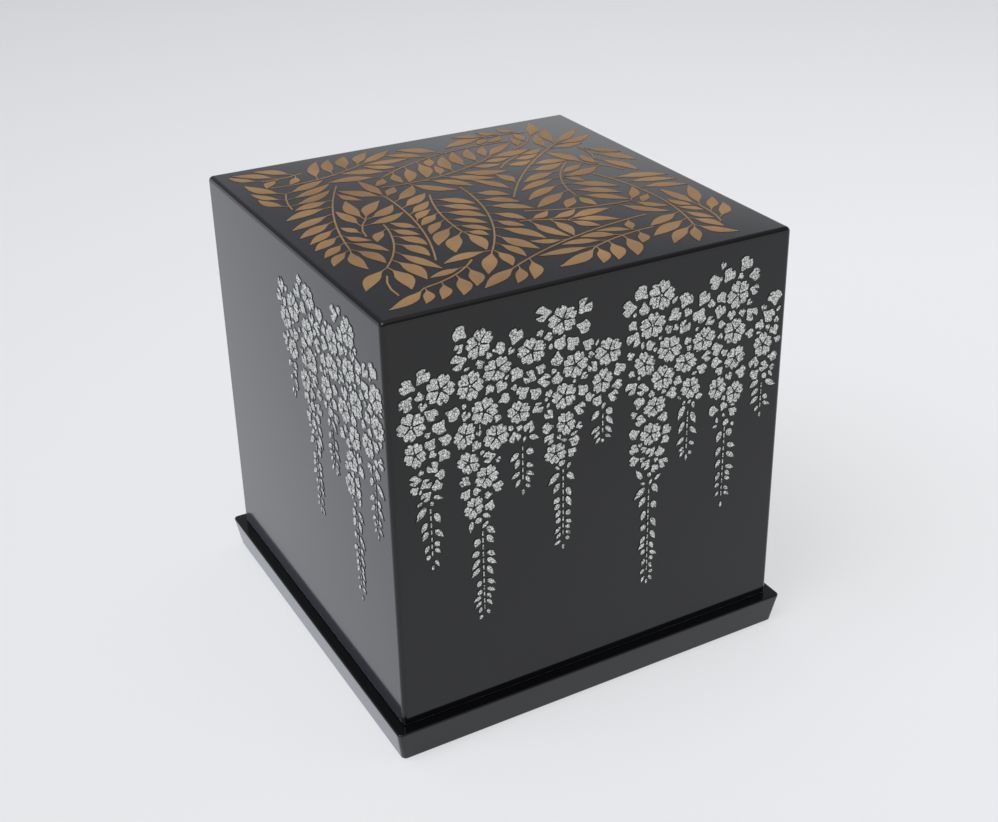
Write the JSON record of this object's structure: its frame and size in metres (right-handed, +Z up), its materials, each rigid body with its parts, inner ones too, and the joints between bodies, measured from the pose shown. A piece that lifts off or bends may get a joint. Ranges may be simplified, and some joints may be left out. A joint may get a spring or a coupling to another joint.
{
  "type": "lacquered decorative box",
  "caption": "Cube-shaped black lacquer box: a full-depth cover with inlaid flowers and gold leaf sprays lifts off an inner box standing on a thin tapered plinth.",
  "frame": {"origin": "middle of the plinth's underside, on the surface that the box stands on", "axes": "+Z up, the way the cover lifts; -Y towards the front, the broad face in the picture; +X to the right seen from the front"},
  "size_m": [0.1576, 0.1576, 0.1588],
  "materials": {
    "cover_lacquer": "black lacquer over wood, polished with a slight softness",
    "plinth_lacquer": "black lacquer over wood, mirror polished",
    "inside_lacquer": "black lacquer over wood, satin",
    "bare_wood": "unlacquered, hidden in the joints",
    "gold_leafwork": "matt gold powder set in lacquer, slightly raised",
    "eggshell_inlay": "white eggshell fragments set in black lacquer, slightly raised"
  },
  "bodies": {
    "base": {"plinth_board": "plinth_lacquer", "inner_floor_board": "inside_lacquer", "inner_front_wall": "inside_lacquer", "inner_back_wall": "inside_lacquer", "inner_left_wall": "inside_lacquer", "inner_right_wall": "inside_lacquer", "inner_tongue_front_left": "bare_wood", "inner_tongue_front_right": "bare_wood", "inner_tongue_back_left": "bare_wood", "inner_tongue_back_right": "bare_wood"},
    "cover": {"cover_top_panel": "cover_lacquer", "cover_front_board": "cover_lacquer", "cover_back_board": "cover_lacquer", "cover_left_board": "cover_lacquer", "cover_right_board": "cover_lacquer", "cover_tongue_front_left": "bare_wood", "cover_tongue_front_right": "bare_wood", "cover_tongue_back_left": "bare_wood", "cover_tongue_back_right": "bare_wood"}
  },
  "joints": [
    {"name": "cover_lift", "type": "slide", "parent": "base", "child": "cover", "axis": [0, 0, 1], "range_m": [0, 0.16]}
  ]
}
